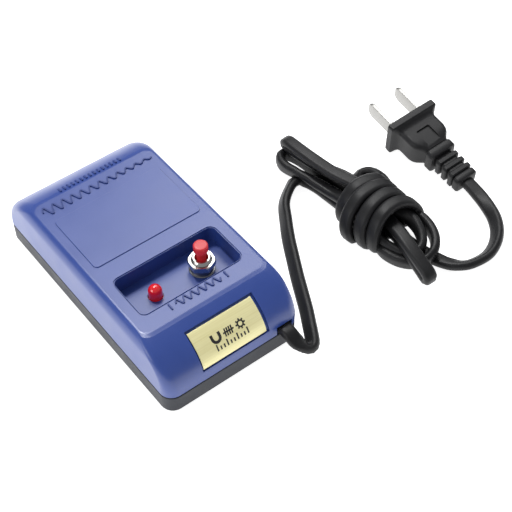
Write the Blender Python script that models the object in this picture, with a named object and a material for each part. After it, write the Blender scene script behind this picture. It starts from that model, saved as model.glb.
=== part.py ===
"""Bench demagnetizer for watch tools: blue shell on a black tray, push-to-run switch, pilot lamp,
mains coil under the work pad, and a flat mains cord tied in a hank with its two-blade plug.

Frame: X to the right, -Y is the front with the nameplate, +Z up, origin on the table under the
middle of the housing. All sizes below are in millimetres.
"""
import math

import bmesh
import bpy
from mathutils import Matrix, Vector

MM = 0.001
GAP = 0.3

# housing
WIDTH = 52.0
LENGTH = 98.0
TOP_Z = 24.8
CORNER_R = 4.5
WALL = 1.8
TRAY_Z0 = 0.6
PARTING_Z = 7.8
SHELL_Z0 = PARTING_Z + GAP
HALF_W = WIDTH / 2
HALF_L = LENGTH / 2

# how far each side leans in at the top, and how deep its curve reaches
SIDE_INSET, SIDE_DEPTH = 2.1, 4.4
FRONT_INSET, FRONT_DEPTH = 14.2, 14.2
BACK_INSET, BACK_DEPTH = 15.9, 16.1
CURVE_END = 0.9

# work pad, control pocket and nameplate
PAD_HALF_W, PAD_Y0, PAD_Y1 = 20.6, -2.7, 23.0
PAD_RISE = 0.3
POCKET_HALF_W, POCKET_Y0, POCKET_Y1 = 19.4, -27.6, -10.3
POCKET_FLOOR = 18.2
POCKET_WALL = 1.6
PLATE_X0, PLATE_X1 = -11.9, 12.6
PLATE_Z0, PLATE_Z1 = 13.2, 22.6
PLATE_RECESS = 0.8

# controls
CONTROL_Y = -18.6
LED_X, LED_R, LED_SHOULDER = -9.0, 2.35, 20.6
SWITCH_X = 9.3
BUSH_R, BUSH_BORE_R, BUSH_TOP = 3.1, 1.9, 23.9
NUT_FLATS = 8.3
BUTTON_TOP = 30.0
BUTTON_TRAVEL = 1.5

# coil
COIL_Y, COIL_Z = 12.5, 13.0
CORE_HALF = 4.5
BOBBIN_HALF_LEN = 16.0

# fasteners and feet
SCREW_XY = [(sx * 21.4, y) for y in (-31.5, 36.0) for sx in (-1, 1)]
FOOT_XY = [(sx * 18.5, y) for y in (-42.0, 43.0) for sx in (-1, 1)]
FOOT_R = 4.0

# mains cord: a flat two-core cord, drawn here as a round tube
CORD_W, CORD_T = 5.2, 3.2
CORD_TUBE_R = 2.1
CORD_X, CORD_Z = 19.4, 9.7
LEAD_ROUTE = [
    (19.4, -49.4, 9.7), (19.4, -52.0, 9.6), (19.9, -54.2, 7.9), (21.6, -56.3, 5.6),
    (24.2, -57.0, 3.7), (26.9, -56.0, 2.9), (29.2, -53.2, 2.7), (31.2, -49.0, 2.7),
    (33.4, -44.2, 2.7), (36.1, -38.4, 2.7), (39.4, -31.8, 2.7), (43.3, -23.9, 2.7),
    (47.7, -15.8, 2.7), (52.3, -8.4, 2.7), (57.3, -1.9, 2.7), (63.0, 3.0, 2.7),
]
TAIL_ROUTE = [
    (83.6, -58.0, 2.7), (86.6, -61.3, 2.7), (91.2, -63.2, 2.7), (97.0, -63.1, 2.7),
    (102.7, -60.8, 2.7), (107.5, -56.9, 2.7), (111.0, -52.2, 2.7), (113.0, -47.2, 2.9),
    (114.1, -42.4, 3.2), (114.6, -37.0, 3.8),
]
HANK_Y0, HANK_Y1, HANK_TOP, HANK_HALF = -62.0, 17.5, 14.5, 6.2

# plug: its own frame has the blade face at the origin and the blades along +Y
PLUG_FACE = (115.2, -1.8, 8.5)
PLUG_TURN = math.radians(-0.9)
PLUG_TILT = math.radians(7.7)
PLUG_ROLL = math.radians(-5.4)
BLADE_SPACING = 12.7
BLADE_LEN, BLADE_W, BLADE_T = 14.4, 6.3, 1.5


def clear_scene():
    for obj in list(bpy.data.objects):
        bpy.data.objects.remove(obj, do_unlink=True)


MATERIALS = {
    "shell_blue": ((0.105, 0.150, 0.420), 0.38, 0.0),
    "tray_black": ((0.030, 0.030, 0.034), 0.50, 0.0),
    "plate_gold": ((0.800, 0.740, 0.480), 0.28, 1.0),
    "lamp_red": ((0.620, 0.010, 0.012), 0.12, 0.0),
    "button_red": ((0.640, 0.045, 0.040), 0.35, 0.0),
    "nickel": ((0.720, 0.700, 0.670), 0.18, 1.0),
    "steel": ((0.480, 0.480, 0.480), 0.35, 1.0),
    "brass": ((0.720, 0.500, 0.180), 0.30, 1.0),
    "switch_plastic": ((0.020, 0.020, 0.022), 0.45, 0.0),
    "board_green": ((0.050, 0.200, 0.090), 0.50, 0.0),
    "resistor_tan": ((0.550, 0.420, 0.260), 0.50, 0.0),
    "bobbin_nylon": ((0.780, 0.750, 0.660), 0.45, 0.0),
    "copper": ((0.560, 0.220, 0.090), 0.35, 0.8),
    "tape_yellow": ((0.760, 0.600, 0.100), 0.40, 0.0),
    "rubber_black": ((0.020, 0.020, 0.020), 0.75, 0.0),
    "cord_black": ((0.018, 0.018, 0.020), 0.42, 0.0),
    "wire_brown": ((0.180, 0.070, 0.030), 0.45, 0.0),
    "wire_blue": ((0.030, 0.090, 0.350), 0.45, 0.0),
}


def material(slot):
    found = bpy.data.materials.get(slot)
    if found:
        return found
    colour, roughness, metallic = MATERIALS[slot]
    mat = bpy.data.materials.new(slot)
    mat.use_nodes = True
    shader = mat.node_tree.nodes["Principled BSDF"]
    shader.inputs["Base Color"].default_value = (*colour, 1.0)
    shader.inputs["Roughness"].default_value = roughness
    shader.inputs["Metallic"].default_value = metallic
    return mat


def link_mesh(name, bm, slot, smooth=False, matrix=None):
    """Turn a bmesh in millimetres into a named object in metres."""
    bmesh.ops.recalc_face_normals(bm, faces=bm.faces)
    full = Matrix.Scale(MM, 4)
    if matrix is not None:
        full = full @ matrix
    bm.transform(full)
    mesh = bpy.data.meshes.new(name)
    bm.to_mesh(mesh)
    bm.free()
    if smooth:
        mesh.shade_smooth()
        mesh.set_sharp_from_angle(angle=math.radians(35))
    obj = bpy.data.objects.new(name, mesh)
    bpy.context.scene.collection.objects.link(obj)
    if slot:
        mesh.materials.append(material(slot))
    return obj


def cutter(obj):
    obj.hide_render = True
    obj.display_type = "WIRE"
    return obj


def boolean(target, tool, operation):
    mod = target.modifiers.new(operation.lower() + "_" + tool.name, "BOOLEAN")
    mod.operation = operation
    mod.solver = "EXACT"
    mod.object = cutter(tool)


def loft(rings):
    """A closed body through rings of equal point count, capped at both ends."""
    bm = bmesh.new()
    loops = [[bm.verts.new(p) for p in ring] for ring in rings]
    count = len(loops[0])
    for lower, upper in zip(loops, loops[1:]):
        for i in range(count):
            j = (i + 1) % count
            bm.faces.new((lower[i], lower[j], upper[j], upper[i]))
    bm.faces.new(list(reversed(loops[0])))
    bm.faces.new(loops[-1])
    return bm


def rounded_outline(x0, x1, y0, y1, radius, steps=4):
    points = []
    corners = ((x1 - radius, y1 - radius), (x0 + radius, y1 - radius),
               (x0 + radius, y0 + radius), (x1 - radius, y0 + radius))
    for quarter, (cx, cy) in enumerate(corners):
        for k in range(steps + 1):
            a = math.pi / 2 * (quarter + k / steps)
            points.append((cx + radius * math.cos(a), cy + radius * math.sin(a)))
    return points


def prism(outline, z0, z1):
    return loft([[(x, y, z) for x, y in outline] for z in (z0, z1)])


def block(x0, x1, y0, y1, z0, z1, bevel=0.0):
    bm = prism([(x1, y1), (x0, y1), (x0, y0), (x1, y0)], z0, z1)
    if bevel:
        bmesh.ops.bevel(bm, geom=bm.edges, offset=bevel, segments=2, profile=0.5,
                        affect="EDGES", clamp_overlap=True)
    return bm


def circle(cx, cy, radius, segments=20):
    return [(cx + radius * math.cos(2 * math.pi * k / segments),
             cy + radius * math.sin(2 * math.pi * k / segments)) for k in range(segments)]


def turned(cx, cy, profile, segments=20):
    """A body of revolution about a vertical axis; profile is (radius, z) from the bottom up."""
    bm = loft([[(x, y, z) for x, y in circle(cx, cy, r, segments)] for r, z in profile])
    return bm


def ring(outer, inner, z0, z1):
    """A plate with a through hole; outer and inner outlines have the same point count."""
    bm = bmesh.new()
    rows = [[bm.verts.new((x, y, z)) for x, y in outline]
            for outline, z in ((outer, z0), (outer, z1), (inner, z1), (inner, z0))]
    count = len(outer)
    for a, b in zip(rows, rows[1:] + rows[:1]):
        for i in range(count):
            j = (i + 1) % count
            bm.faces.new((a[i], a[j], b[j], b[i]))
    return bm


# ---------------------------------------------------------------- housing

def lean(z, inset, depth):
    """Inset of a wall at height z: a stretch of ellipse that stops before it turns level."""
    start = TOP_Z - depth
    if z <= start:
        return 0.0
    c = (z - start) / depth * CURVE_END
    full = 1 - math.sqrt(1 - CURVE_END * CURVE_END)
    return inset * (1 - math.sqrt(1 - c * c)) / full


def shell_outline(z, offset=0.0):
    side = HALF_W - offset - lean(z, SIDE_INSET, SIDE_DEPTH)
    front = -HALF_L + offset + lean(z, FRONT_INSET, FRONT_DEPTH)
    back = HALF_L - offset - lean(z, BACK_INSET, BACK_DEPTH)
    rise = (z - SHELL_Z0) / (TOP_Z - SHELL_Z0)
    radius = CORNER_R - min(offset, 1.5) - 1.0 * rise
    return rounded_outline(-side, side, front, back, radius, 5)


def shell_levels(count=11):
    """Heights closer together towards the top, where the walls curve most."""
    return [SHELL_Z0 + (TOP_Z - SHELL_Z0) * math.sin(math.pi / 2 * k / count) for k in range(count + 1)]


def shell_body():
    outer = [[(x, y, z) for x, y in shell_outline(z)] for z in shell_levels()]
    squeeze = (TOP_Z - WALL - SHELL_Z0) / (TOP_Z - SHELL_Z0)
    inner = []
    for z in shell_levels():
        z_in = SHELL_Z0 + (z - SHELL_Z0) * squeeze
        inner.append([(x, y, z_in) for x, y in shell_outline(z, WALL)])
    rings = list(reversed(outer)) + inner
    return loft(rings)


def front_normal_point(z, out):
    """A point off the curved front face: y and z moved outwards along the face's normal."""
    step = 0.05
    y = -HALF_L + lean(z, FRONT_INSET, FRONT_DEPTH)
    dy = lean(z + step, FRONT_INSET, FRONT_DEPTH) - lean(z - step, FRONT_INSET, FRONT_DEPTH)
    length = math.hypot(dy, 2 * step)
    return y - out * 2 * step / length, z + out * dy / length


def front_strip(x0, x1, z0, z1, inside, outside, steps=6):
    """A curved slab that follows the front face between two heights."""
    rings = []
    for k in range(steps + 1):
        z = z0 + (z1 - z0) * k / steps
        y_in, z_in = front_normal_point(z, inside)
        y_out, z_out = front_normal_point(z, outside)
        rings.append([(x0, y_in, z_in), (x1, y_in, z_in), (x1, y_out, z_out), (x0, y_out, z_out)])
    return loft(rings)


def make_top_housing():
    shell = link_mesh("top_housing", shell_body(), "shell_blue")
    walls = rounded_outline(-POCKET_HALF_W - POCKET_WALL, POCKET_HALF_W + POCKET_WALL,
                            POCKET_Y0 - POCKET_WALL, POCKET_Y1 + POCKET_WALL, 3.6)
    boolean(shell, link_mesh("pocket_walls", prism(walls, POCKET_FLOOR - POCKET_WALL, TOP_Z - 0.9), None),
            "UNION")
    for k, (x, y) in enumerate(SCREW_XY):
        pillar = turned(x, y, [(3.0, SHELL_Z0 + 0.1), (3.0, TOP_Z - 3.6)], 16)
        boolean(shell, link_mesh("pillar_%d" % (k + 1), pillar, None), "UNION")
    cavity = []
    for z, extra in ((POCKET_FLOOR, 0.0), (TOP_Z - 0.6, 0.0), (TOP_Z + 0.4, 0.8)):
        cavity.append([(x, y, z) for x, y in rounded_outline(
            -POCKET_HALF_W - extra, POCKET_HALF_W + extra, POCKET_Y0 - extra, POCKET_Y1 + extra, 2.2 + extra)])
    boolean(shell, link_mesh("pocket_cavity", loft(cavity), None), "DIFFERENCE")
    pad = rounded_outline(-PAD_HALF_W, PAD_HALF_W, PAD_Y0, PAD_Y1, 1.6)
    boolean(shell, link_mesh("work_pad", prism(pad, TOP_Z - 0.6, TOP_Z + PAD_RISE), None), "UNION")
    led_hole = turned(LED_X, CONTROL_Y, [(LED_R + GAP, 15.0), (LED_R + GAP, 20.0)])
    boolean(shell, link_mesh("led_hole", led_hole, None), "DIFFERENCE")
    bush_hole = turned(SWITCH_X, CONTROL_Y, [(BUSH_R + GAP, 15.0), (BUSH_R + GAP, 20.0)])
    boolean(shell, link_mesh("bush_hole", bush_hole, None), "DIFFERENCE")
    recess = front_strip(PLATE_X0 - 0.35, PLATE_X1 + 0.35, PLATE_Z0 - 0.35, PLATE_Z1 + 0.35,
                         -PLATE_RECESS, 1.5)
    boolean(shell, link_mesh("plate_recess", recess, None), "DIFFERENCE")
    notch = block(CORD_X - CORD_W / 2 - 0.4, CORD_X + CORD_W / 2 + 0.4, -HALF_L - 2, -HALF_L + 3.5,
                  SHELL_Z0 - 1, CORD_Z + CORD_T / 2 + 0.5)
    boolean(shell, link_mesh("cord_notch", notch, None), "DIFFERENCE")
    for k, (x, y) in enumerate(SCREW_XY):
        pilot = turned(x, y, [(1.7, SHELL_Z0 - 1), (1.7, 17.2)], 12)
        boolean(shell, link_mesh("pilot_%d" % (k + 1), pilot, None), "DIFFERENCE")


def make_base_tray():
    radius = CORNER_R
    outside = [rounded_outline(-HALF_W + c, HALF_W - c, -HALF_L + c, HALF_L - c, radius - c * 0.6, 5)
               for c in (0.7, 0.0)]
    inside = rounded_outline(-HALF_W + WALL, HALF_W - WALL, -HALF_L + WALL, HALF_L - WALL,
                             radius - 1.5, 5)
    floor_z = TRAY_Z0 + WALL
    rings = [[(x, y, TRAY_Z0) for x, y in outside[0]],
             [(x, y, TRAY_Z0 + 0.7) for x, y in outside[1]],
             [(x, y, PARTING_Z) for x, y in outside[1]],
             [(x, y, PARTING_Z) for x, y in inside],
             [(x, y, floor_z) for x, y in inside]]
    tray = link_mesh("base_tray", loft(rings), "tray_black")
    posts = [("screw_post_%d" % (k + 1), x, y, 3.4, PARTING_Z) for k, (x, y) in enumerate(SCREW_XY)]
    posts += [("board_post_%d" % (k + 1), LED_X + dx, CONTROL_Y, 1.6, 9.0) for k, dx in enumerate((-5, 5))]
    posts += [("bracket_post_%d" % (k + 1), 0.0, COIL_Y + dy, 2.8, 3.0) for k, dy in enumerate((-13, 13))]
    posts += [("clamp_post", 13.4, -43.6, 2.6, 11.0)]
    for name, x, y, r, top in posts:
        boolean(tray, link_mesh(name, turned(x, y, [(r, floor_z - 0.4), (r, top)], 16), None), "UNION")
    saddle = block(CORD_X - 3.4, CORD_X + 3.4, -45.6, -41.6, floor_z - 0.4, CORD_Z - CORD_T / 2 - GAP)
    boolean(tray, link_mesh("cord_saddle", saddle, None), "UNION")
    holes = []
    for k, (x, y) in enumerate(SCREW_XY):
        holes.append(("counterbore_%d" % (k + 1), x, y, 2.8, TRAY_Z0 - 1, 3.2))
        holes.append(("screw_way_%d" % (k + 1), x, y, 1.7, 2.6, PARTING_Z + 1))
    for k, (x, y) in enumerate(FOOT_XY):
        holes.append(("foot_seat_%d" % (k + 1), x, y, FOOT_R + GAP, TRAY_Z0 - 1, 1.5))
    for k, dy in enumerate((-13, 13)):
        holes.append(("bracket_pilot_%d" % (k + 1), 0.0, COIL_Y + dy, 1.5, 1.3, 4.0))
    holes.append(("clamp_pilot", 13.4, -43.6, 1.5, 4.0, 12.0))
    for name, x, y, r, z0, z1 in holes:
        boolean(tray, link_mesh(name, turned(x, y, [(r, z0), (r, z1)], 16), None), "DIFFERENCE")


def make_feet():
    for k, (x, y) in enumerate(FOOT_XY):
        foot = turned(x, y, [(FOOT_R - 0.3, 0.0), (FOOT_R, 0.3), (FOOT_R, 1.2)], 20)
        link_mesh("foot_%d" % (k + 1), foot, "rubber_black", smooth=True)


def make_nameplate():
    plate = front_strip(PLATE_X0, PLATE_X1, PLATE_Z0, PLATE_Z1, -PLATE_RECESS + GAP, -0.05)
    link_mesh("nameplate", plate, "plate_gold", smooth=True)


def make_housing_screws():
    for k, (x, y) in enumerate(SCREW_XY):
        profile = [(2.4, 0.95), (2.5, 1.1), (2.5, 2.9), (1.4, 2.9), (1.4, 16.4), (0.5, 16.9)]
        link_mesh("housing_screw_%d" % (k + 1), turned(x, y, profile, 16), "steel", smooth=True)


# ---------------------------------------------------------------- controls

def make_lamp():
    dome = [(LED_R * math.cos(a), LED_SHOULDER + LED_R * math.sin(a))
            for a in (math.pi / 2 * k / 6 for k in range(6))]
    profile = [(2.9, 15.3), (2.9, 16.3), (LED_R, 16.3), (LED_R, LED_SHOULDER)] + dome[1:]
    profile += [(0.35, LED_SHOULDER + LED_R)]
    link_mesh("led_lens", turned(LED_X, CONTROL_Y, profile, 24), "lamp_red", smooth=True)
    for side, label in ((-1, "anode"), (1, "cathode")):
        lead = turned(LED_X + side * 1.27, CONTROL_Y, [(0.3, 10.8), (0.3, 15.0)], 8)
        link_mesh("led_lead_" + label, lead, "nickel")


def make_indicator_board():
    board = block(LED_X - 7, LED_X + 7, CONTROL_Y - 5, CONTROL_Y + 5, 9.3, 10.5, 0.2)
    link_mesh("indicator_board", board, "board_green")
    for name, y, slot, half in (("dropper_resistor", -3.3, "resistor_tan", 3.4),
                                ("rectifier_diode", 3.3, "switch_plastic", 2.6)):
        profile = [(0.8, -half), (1.1, -half + 0.4), (1.1, -half + 1.1), (0.95, -half + 1.4),
                   (0.95, half - 1.4), (1.1, half - 1.1), (1.1, half - 0.4), (0.8, half)]
        place = Matrix.Translation((LED_X, CONTROL_Y + y, 11.95)) @ Matrix.Rotation(math.pi / 2, 4, "Y")
        link_mesh(name, turned(0, 0, profile, 12), slot, smooth=True, matrix=place)


def make_switch():
    x, y = SWITCH_X, CONTROL_Y
    body = link_mesh("switch_body", block(x - 5, x + 5, y - 5, y + 5, 7.0, 16.3, 0.5), "switch_plastic")
    bore = turned(x, y, [(3.5, 8.2), (3.5, 13.5), (BUSH_BORE_R, 13.5), (BUSH_BORE_R, 18.0)], 20)
    boolean(body, link_mesh("switch_bore", bore, None), "DIFFERENCE")
    for side in (-1, 1):
        tag = "line" if side < 0 else "load"
        slot = block(x + side * 2.4 - 0.9, x + side * 2.4 + 0.9, y - 1.1, y + 1.1, 6.0, 9.0)
        boolean(body, link_mesh("terminal_way_" + tag, slot, None), "DIFFERENCE")
        blade = block(x + side * 2.4 - 0.4, x + side * 2.4 + 0.4, y - 0.8, y + 0.8, 3.4, 9.7, 0.1)
        link_mesh("switch_terminal_" + tag, blade, "brass")
    thread = ring(circle(x, y, BUSH_R, 28), circle(x, y, BUSH_BORE_R, 28), 16.6, BUSH_TOP)
    link_mesh("switch_bush", thread, "nickel", smooth=True)
    washer = ring(circle(x, y, 4.7, 24), circle(x, y, BUSH_R + GAP, 24), POCKET_FLOOR + GAP,
                  POCKET_FLOOR + 2.1)
    link_mesh("bush_washer", washer, "steel", smooth=True)
    make_nut(x, y)


def make_nut(x, y):
    """Hexagon with its corners turned down, drawn as four rings of 24 points."""
    across = NUT_FLATS / 2

    def hexagon(limit):
        points = []
        for k in range(24):
            a = 2 * math.pi * k / 24
            off_flat = (a + math.radians(12)) % (math.pi / 3) - math.pi / 6
            radius = min(across / math.cos(off_flat), limit)
            points.append((x + radius * math.cos(a), y + radius * math.sin(a)))
        return points

    full = across / math.cos(math.pi / 6)
    hole = circle(x, y, BUSH_R + GAP, 24)
    levels = [(hexagon(full - 0.35), 20.6), (hexagon(full), 20.9), (hexagon(full), 22.5),
              (hexagon(full - 0.35), 22.8), (hole, 22.8), (hole, 20.6)]
    bm = bmesh.new()
    rows = [[bm.verts.new((px, py, z)) for px, py in outline] for outline, z in levels]
    for a, b in zip(rows, rows[1:] + rows[:1]):
        for i in range(24):
            j = (i + 1) % 24
            bm.faces.new((a[i], a[j], b[j], b[i]))
    link_mesh("bush_nut", bm, "nickel")


def make_button():
    x, y = SWITCH_X, CONTROL_Y
    cap = [(1.5, 17.9), (1.5, 25.9), (2.35, 27.1), (2.42, 27.3), (2.42, 29.6), (2.2, 29.9), (1.9, BUTTON_TOP)]
    link_mesh("button_cap", turned(x, y, cap, 24), "button_red", smooth=True)
    plunger = [(2.8, 12.2), (2.8, 13.2), (1.5, 13.2), (1.5, 17.6)]
    link_mesh("button_plunger", turned(x, y, plunger, 20), "switch_plastic", smooth=True)
    link_mesh("contact_bridge", block(x - 3.1, x + 3.1, y - 1.0, y + 1.0, 11.5, 11.9), "brass")
    turns, wire, coil_r = 4.5, 0.16, 1.05
    steps = int(turns * 10)
    points = []
    for k in range(steps + 1):
        a = 2 * math.pi * k / 10
        points.append((x + coil_r * math.cos(a), y + coil_r * math.sin(a),
                       8.2 + GAP + wire + (11.5 - 8.2 - 2 * GAP - 2 * wire) * k / steps))
    make_tube("return_spring", points, wire, "steel", 1)


# ---------------------------------------------------------------- coil

def make_coil():
    y, z = COIL_Y, COIL_Z
    outer, hole, end = 6.0, CORE_HALF + GAP, BOBBIN_HALF_LEN
    # along X: flange, tube, flange, as one turned-square section
    stations = [(-end, 8.4), (-end + 1.2, 8.4), (-end + 1.2, outer), (end - 1.2, outer), (end - 1.2, 8.4),
                (end, 8.4), (end, hole), (-end, hole)]
    bm = bmesh.new()
    rows = []
    for x, h in stations:
        wide = h * 1.15 if h > outer else h
        rows.append([bm.verts.new(p) for p in ((x, y - wide, z - h), (x, y + wide, z - h),
                                               (x, y + wide, z + h), (x, y - wide, z + h))])
    for a, b in zip(rows, rows[1:] + rows[:1]):
        for i in range(4):
            j = (i + 1) % 4
            bm.faces.new((a[i], a[j], b[j], b[i]))
    link_mesh("coil_bobbin", bm, "bobbin_nylon")
    make_band("coil_winding", end - 1.2 - GAP, (outer + GAP, 0.6), (7.4, 1.8), "copper")
    make_band("coil_tape", 6.0, (7.4 + GAP, 2.1), (8.0, 2.4), "tape_yellow")
    core = link_mesh("core_bar", block(-end - 0.2, end + 0.2, y - CORE_HALF, y + CORE_HALF,
                                       z - CORE_HALF, z + CORE_HALF, 0.2), "steel")
    for side, label in ((-1, "left"), (1, "right")):
        along = Matrix.Translation((0, y, z)) @ Matrix.Rotation(side * math.pi / 2, 4, "Y")
        hole_cut = link_mesh("core_thread_" + label, turned(0, 0, [(1.5, end - 9), (1.5, end + 2)], 12),
                             None, matrix=along)
        boolean(core, hole_cut, "DIFFERENCE")
        x0, x1 = sorted((side * (end + 0.5), side * (end + 4.7)))
        pole = link_mesh("pole_piece_" + label, block(x0, x1, y - 6, y + 6, z - 6.5, 22.3, 0.2), "steel")
        way = link_mesh("pole_hole_" + label, turned(0, 0, [(1.7, end - 1), (1.7, end + 6)], 12),
                        None, matrix=along)
        boolean(pole, way, "DIFFERENCE")
        screw = turned(0, 0, [(1.2, end - 8), (1.2, end + 5.0), (2.4, end + 5.0), (2.4, end + 6.2),
                              (2.0, end + 6.5)], 14)
        link_mesh("pole_screw_" + label, screw, "steel", smooth=True, matrix=along)
    bracket = link_mesh("coil_bracket", block(-9, 9, y - 16, y + 16, 3.3, 4.2, 0.15), "steel")
    for k, dy in enumerate((-13, 13)):
        hole_cut = link_mesh("bracket_hole_%d" % (k + 1), turned(0, y + dy, [(1.6, 3.0), (1.6, 5.0)], 12), None)
        boolean(bracket, hole_cut, "DIFFERENCE")
        screw = turned(0, y + dy, [(1.2, 1.6), (1.2, 4.5), (2.1, 4.5), (2.1, 5.4), (1.7, 5.8)], 14)
        link_mesh("bracket_screw_%d" % (k + 1), screw, "steel", smooth=True)


def make_band(name, half_x, inner, outer, slot):
    """A square sleeve about the core's axis; inner and outer are (half width, corner radius)."""
    y, z = COIL_Y, COIL_Z
    bm = bmesh.new()
    rows = []
    for x, (h, radius) in ((-half_x, inner), (-half_x, outer), (half_x, outer), (half_x, inner)):
        outline = rounded_outline(-h, h, -h, h, radius, 3)
        rows.append([bm.verts.new((x, y + u, z + v)) for u, v in outline])
    count = len(rows[0])
    for a, b in zip(rows, rows[1:] + rows[:1]):
        for i in range(count):
            j = (i + 1) % count
            bm.faces.new((a[i], a[j], b[j], b[i]))
    link_mesh(name, bm, slot, smooth=True)


# ---------------------------------------------------------------- wiring

def smooth_route(points, spacing):
    """Even points on a Catmull-Rom curve through hand-placed ones."""
    path = [Vector(p) for p in points]
    path = [2 * path[0] - path[1]] + path + [2 * path[-1] - path[-2]]
    fine = []
    for a, b, c, d in zip(path, path[1:], path[2:], path[3:]):
        for k in range(24):
            t = k / 24
            fine.append(0.5 * (2 * b + (c - a) * t + (2 * a - 5 * b + 4 * c - d) * t * t
                               + (3 * b - a - 3 * c + d) * t ** 3))
    fine.append(path[-2])
    length = sum((q - p).length for p, q in zip(fine, fine[1:]))
    count = max(2, round(length / spacing))
    out, walked, target = [fine[0]], 0.0, length / count
    for p, q in zip(fine, fine[1:]):
        step = (q - p).length
        while walked + step >= target * len(out) and len(out) < count:
            out.append(p.lerp(q, (target * len(out) - walked) / step))
        walked += step
    return out + [fine[-1]]


def make_tube(name, points, radius, slot, resolution=2):
    curve = bpy.data.curves.new(name, "CURVE")
    curve.dimensions = "3D"
    curve.bevel_depth = radius * MM
    curve.bevel_resolution = resolution
    curve.use_fill_caps = True
    spline = curve.splines.new("POLY")
    spline.points.add(len(points) - 1)
    for target, p in zip(spline.points, points):
        target.co = (p[0] * MM, p[1] * MM, p[2] * MM, 1.0)
    curve.materials.append(material(slot))
    obj = bpy.data.objects.new(name, curve)
    bpy.context.scene.collection.objects.link(obj)
    return obj


WIRE_ROUTES = {
    "wire_line": ("wire_brown", [(18.1, -39.5, 9.7), (17.2, -36.5, 9.0), (14.5, -31.0, 6.0),
                                 (11.0, -26.5, 4.4), (7.6, -22.0, 4.2), (6.95, -20.6, 4.2)]),
    "wire_neutral": ("wire_blue", [(20.7, -39.5, 9.7), (19.6, -37.6, 7.6), (16.9, -35.0, 4.6),
                                   (16.4, -28.0, 3.6), (17.2, -18.0, 3.6), (16.0, -6.0, 4.6),
                                   (12.6, 0.8, 7.5), (12.0, 3.9, 9.5)]),
    "wire_switched": ("wire_brown", [(12.6, -18.6, 4.4), (13.6, -16.4, 4.4), (11.8, -9.0, 4.6),
                                     (8.8, 0.2, 6.4), (8.4, 3.9, 9.0)]),
    "wire_lamp_line": ("wire_brown", [(-0.9, -20.4, 9.9), (0.2, -16.5, 8.4), (1.0, -8.0, 6.8),
                                      (3.4, 0.2, 7.6), (3.8, 3.2, 9.4)]),
    "wire_lamp_neutral": ("wire_blue", [(-0.9, -17.0, 10.2), (-0.9, -12.6, 9.2), (-2.2, -4.0, 8.0),
                                        (-2.0, 0.6, 8.8), (-2.0, 3.2, 9.6)]),
}


def make_wires():
    for name, (slot, route) in WIRE_ROUTES.items():
        make_tube(name, smooth_route(route, 2.4), 0.75, slot, 1)


def make_cord_clamp():
    top = CORD_Z + CORD_T / 2
    inner = link_mesh("cord_inner", prism(rounded_outline(CORD_X - CORD_W / 2, CORD_X + CORD_W / 2,
                                                          -CORD_T / 2, CORD_T / 2, 1.5, 3), 40.0, 49.0),
                      "cord_black", smooth=True,
                      matrix=Matrix.Translation((0, 0, CORD_Z)) @ Matrix.Rotation(math.pi / 2, 4, "X"))
    inner.data.shade_smooth()
    bar = link_mesh("cord_clamp", block(11.0, 23.0, -45.6, -41.6, top + GAP, top + GAP + 1.6, 0.2),
                    "switch_plastic")
    boolean(bar, link_mesh("clamp_hole", turned(13.4, -43.6, [(1.5, 11.0), (1.5, 14.0)], 12), None),
            "DIFFERENCE")
    screw = turned(13.4, -43.6, [(1.2, 5.0), (1.2, 13.5), (2.1, 13.5), (2.1, 14.3), (1.7, 14.7)], 14)
    link_mesh("clamp_screw", screw, "steel", smooth=True)


# ---------------------------------------------------------------- free cord

def hank_outline():
    """Plan of the tied hank: a slightly bowed bundle with round ends, fuller where it is bound."""
    left, right = [], []
    steps = 22
    for k in range(steps + 1):
        y = HANK_Y0 + (HANK_Y1 - HANK_Y0) * (0.5 - 0.5 * math.cos(math.pi * k / steps))
        end = min(y - HANK_Y0, HANK_Y1 - y, 6.5) / 6.5
        half = max(0.4, HANK_HALF * math.sqrt(max(0.0, 1 - (1 - end) ** 2)))
        middle = 76.0 - 5.0 * ((y + 25.0) / 40.0) ** 2
        left.append((middle - half - 5.0 * math.exp(-((y + 27.0) / 13.0) ** 2), y))
        right.append((middle + half + 8.0 * math.exp(-((y + 41.0) / 12.0) ** 2), y))
    return right + list(reversed(left))


def make_cord():
    make_tube("cord_lead", smooth_route(LEAD_ROUTE, 2.6), CORD_TUBE_R, "cord_black", 2)
    make_tube("cord_tail", smooth_route(TAIL_ROUTE, 3.2), CORD_TUBE_R, "cord_black", 2)
    link_mesh("cord_hank", prism(hank_outline(), 0.3, HANK_TOP), "cord_black")


def plug_matrix():
    return (Matrix.Translation(PLUG_FACE) @ Matrix.Rotation(PLUG_TURN, 4, "Z")
            @ Matrix.Rotation(PLUG_TILT, 4, "X") @ Matrix.Rotation(PLUG_ROLL, 4, "Y"))


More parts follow.
